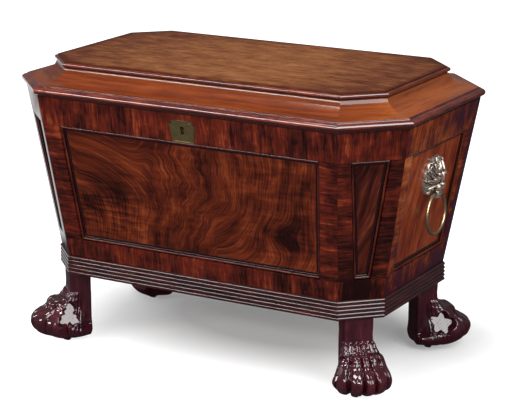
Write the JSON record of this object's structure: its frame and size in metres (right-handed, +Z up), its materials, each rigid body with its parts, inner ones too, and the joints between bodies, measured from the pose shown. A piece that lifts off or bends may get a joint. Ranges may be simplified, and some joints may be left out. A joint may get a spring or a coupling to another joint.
{
  "type": "cellarette",
  "caption": "Mahogany sarcophagus cellarette: tapering box with sunk panels, hinged coved lid, reeded base, carved paw feet on castors, lion mask ring handles and fitted bottle divisions.",
  "frame": {"origin": "on the floor, under the middle of the box", "axes": "+X towards the right end as seen from the front, +Z up, the front with the keyhole faces -Y"},
  "size_m": [0.76, 0.464, 0.5134],
  "materials": {
    "right_wall_frame": "dark mahogany crossbanding, French polished",
    "right_panel": "figured mahogany veneer, French polished",
    "right_bead": "dark mahogany moulding, French polished",
    "rear_right_wall_frame": "dark mahogany crossbanding, French polished",
    "rear_right_panel": "figured mahogany veneer, French polished",
    "rear_right_bead": "dark mahogany moulding, French polished",
    "rear_wall_frame": "dark mahogany crossbanding, French polished",
    "rear_panel": "figured mahogany veneer, French polished",
    "rear_bead": "dark mahogany moulding, French polished",
    "rear_left_wall_frame": "dark mahogany crossbanding, French polished",
    "rear_left_panel": "figured mahogany veneer, French polished",
    "rear_left_bead": "dark mahogany moulding, French polished",
    "left_wall_frame": "dark mahogany crossbanding, French polished",
    "left_panel": "figured mahogany veneer, French polished",
    "left_bead": "dark mahogany moulding, French polished",
    "front_left_wall_frame": "dark mahogany crossbanding, French polished",
    "front_left_panel": "figured mahogany veneer, French polished",
    "front_left_bead": "dark mahogany moulding, French polished",
    "front_wall_frame": "dark mahogany crossbanding, French polished",
    "front_panel": "figured mahogany veneer, French polished",
    "front_bead": "dark mahogany moulding, French polished",
    "front_right_wall_frame": "dark mahogany crossbanding, French polished",
    "front_right_panel": "figured mahogany veneer, French polished",
    "front_right_bead": "dark mahogany moulding, French polished",
    "base_frame": "dark mahogany reeding, French polished",
    "floor_board": "plain mahogany, unpolished",
    "front_right_leg": "dark carved mahogany, French polished",
    "front_right_castor_horn": "aged brass",
    "front_right_castor_wheel": "aged brass",
    "rear_right_leg": "dark carved mahogany, French polished",
    "rear_right_castor_horn": "aged brass",
    "rear_right_castor_wheel": "aged brass",
    "rear_left_leg": "dark carved mahogany, French polished",
    "rear_left_castor_horn": "aged brass",
    "rear_left_castor_wheel": "aged brass",
    "front_left_leg": "dark carved mahogany, French polished",
    "front_left_castor_horn": "aged brass",
    "front_left_castor_wheel": "aged brass",
    "lid_frame": "red mahogany rounded edge, French polished",
    "lid_cove": "orange mahogany cove, French polished",
    "lid_top": "golden mahogany with straight grain, French polished",
    "left_hinge_body_leaf": "aged brass",
    "left_hinge_lid_leaf": "aged brass",
    "left_hinge_pin": "aged brass",
    "right_hinge_body_leaf": "aged brass",
    "right_hinge_lid_leaf": "aged brass",
    "right_hinge_pin": "aged brass",
    "lock_case": "brass",
    "lock_bolt": "brass",
    "link_plate": "brass",
    "escutcheon": "darkened brass",
    "right_lion_mask": "worn brass, dark in the hollows",
    "right_ring": "worn brass",
    "left_lion_mask": "worn brass, dark in the hollows",
    "left_ring": "worn brass",
    "zinc_liner": "dull zinc sheet",
    "long_division": "plain mahogany, waxed",
    "left_cross_division": "plain mahogany, waxed",
    "middle_cross_division": "plain mahogany, waxed",
    "right_cross_division": "plain mahogany, waxed"
  },
  "bodies": {
    "carcass": {"right_wall_frame": "right_wall_frame", "right_panel": "right_panel", "right_bead": "right_bead", "rear_right_wall_frame": "rear_right_wall_frame", "rear_right_panel": "rear_right_panel", "rear_right_bead": "rear_right_bead", "rear_wall_frame": "rear_wall_frame", "rear_panel": "rear_panel", "rear_bead": "rear_bead", "rear_left_wall_frame": "rear_left_wall_frame", "rear_left_panel": "rear_left_panel", "rear_left_bead": "rear_left_bead", "left_wall_frame": "left_wall_frame", "left_panel": "left_panel", "left_bead": "left_bead", "front_left_wall_frame": "front_left_wall_frame", "front_left_panel": "front_left_panel", "front_left_bead": "front_left_bead", "front_wall_frame": "front_wall_frame", "front_panel": "front_panel", "front_bead": "front_bead", "front_right_wall_frame": "front_right_wall_frame", "front_right_panel": "front_right_panel", "front_right_bead": "front_right_bead", "base_frame": "base_frame", "floor_board": "floor_board", "front_right_leg": "front_right_leg", "rear_right_leg": "rear_right_leg", "rear_left_leg": "rear_left_leg", "front_left_leg": "front_left_leg", "left_hinge_body_leaf": "left_hinge_body_leaf", "left_hinge_pin": "left_hinge_pin", "right_hinge_body_leaf": "right_hinge_body_leaf", "right_hinge_pin": "right_hinge_pin", "lock_case": "lock_case", "escutcheon": "escutcheon", "right_lion_mask": "right_lion_mask", "left_lion_mask": "left_lion_mask", "zinc_liner": "zinc_liner", "long_division": "long_division", "left_cross_division": "left_cross_division", "middle_cross_division": "middle_cross_division", "right_cross_division": "right_cross_division"},
    "lid": {"lid_frame": "lid_frame", "lid_cove": "lid_cove", "lid_top": "lid_top", "left_hinge_lid_leaf": "left_hinge_lid_leaf", "right_hinge_lid_leaf": "right_hinge_lid_leaf", "link_plate": "link_plate"},
    "bolt": {"lock_bolt": "lock_bolt"},
    "left_handle": {"left_ring": "left_ring"},
    "right_handle": {"right_ring": "right_ring"},
    "front_right_castor": {"front_right_castor_horn": "front_right_castor_horn"},
    "front_right_wheel": {"front_right_castor_wheel": "front_right_castor_wheel"},
    "rear_right_castor": {"rear_right_castor_horn": "rear_right_castor_horn"},
    "rear_right_wheel": {"rear_right_castor_wheel": "rear_right_castor_wheel"},
    "rear_left_castor": {"rear_left_castor_horn": "rear_left_castor_horn"},
    "rear_left_wheel": {"rear_left_castor_wheel": "rear_left_castor_wheel"},
    "front_left_castor": {"front_left_castor_horn": "front_left_castor_horn"},
    "front_left_wheel": {"front_left_castor_wheel": "front_left_castor_wheel"}
  },
  "joints": [
    {"name": "lid_hinge", "type": "hinge", "parent": "carcass", "child": "lid", "pos_m": [0, 0.229, 0.46055], "axis": [-1, 0, 0], "range_deg": [0, 95]},
    {"name": "lock_bolt_slide", "type": "slide", "parent": "carcass", "child": "bolt", "axis": [1, 0, 0], "range_m": [0, 0.008]},
    {"name": "right_ring_swing", "type": "hinge", "parent": "carcass", "child": "right_handle", "pos_m": [0.3579, 0, 0.32405], "axis": [0, -1, 0], "range_deg": [-18, 100]},
    {"name": "left_ring_swing", "type": "hinge", "parent": "carcass", "child": "left_handle", "pos_m": [-0.3579, 0, 0.32405], "axis": [0, 1, 0], "range_deg": [-18, 100]},
    {"name": "front_right_castor_swivel", "type": "hinge", "parent": "carcass", "child": "front_right_castor", "pos_m": [0.28931, -0.14231, 0.03], "axis": [0, 0, 1], "continuous": true},
    {"name": "front_right_wheel_roll", "type": "hinge", "parent": "front_right_castor", "child": "front_right_wheel", "pos_m": [0.28931, -0.15131, 0.01185], "axis": [1, 0, 0], "continuous": true},
    {"name": "rear_right_castor_swivel", "type": "hinge", "parent": "carcass", "child": "rear_right_castor", "pos_m": [0.28931, 0.14231, 0.03], "axis": [0, 0, 1], "continuous": true},
    {"name": "rear_right_wheel_roll", "type": "hinge", "parent": "rear_right_castor", "child": "rear_right_wheel", "pos_m": [0.28931, 0.13331, 0.01185], "axis": [1, 0, 0], "continuous": true},
    {"name": "rear_left_castor_swivel", "type": "hinge", "parent": "carcass", "child": "rear_left_castor", "pos_m": [-0.28931, 0.14231, 0.03], "axis": [0, 0, 1], "continuous": true},
    {"name": "rear_left_wheel_roll", "type": "hinge", "parent": "rear_left_castor", "child": "rear_left_wheel", "pos_m": [-0.28931, 0.13331, 0.01185], "axis": [1, 0, 0], "continuous": true},
    {"name": "front_left_castor_swivel", "type": "hinge", "parent": "carcass", "child": "front_left_castor", "pos_m": [-0.28931, -0.14231, 0.03], "axis": [0, 0, 1], "continuous": true},
    {"name": "front_left_wheel_roll", "type": "hinge", "parent": "front_left_castor", "child": "front_left_wheel", "pos_m": [-0.28931, -0.15131, 0.01185], "axis": [1, 0, 0], "continuous": true}
  ]
}
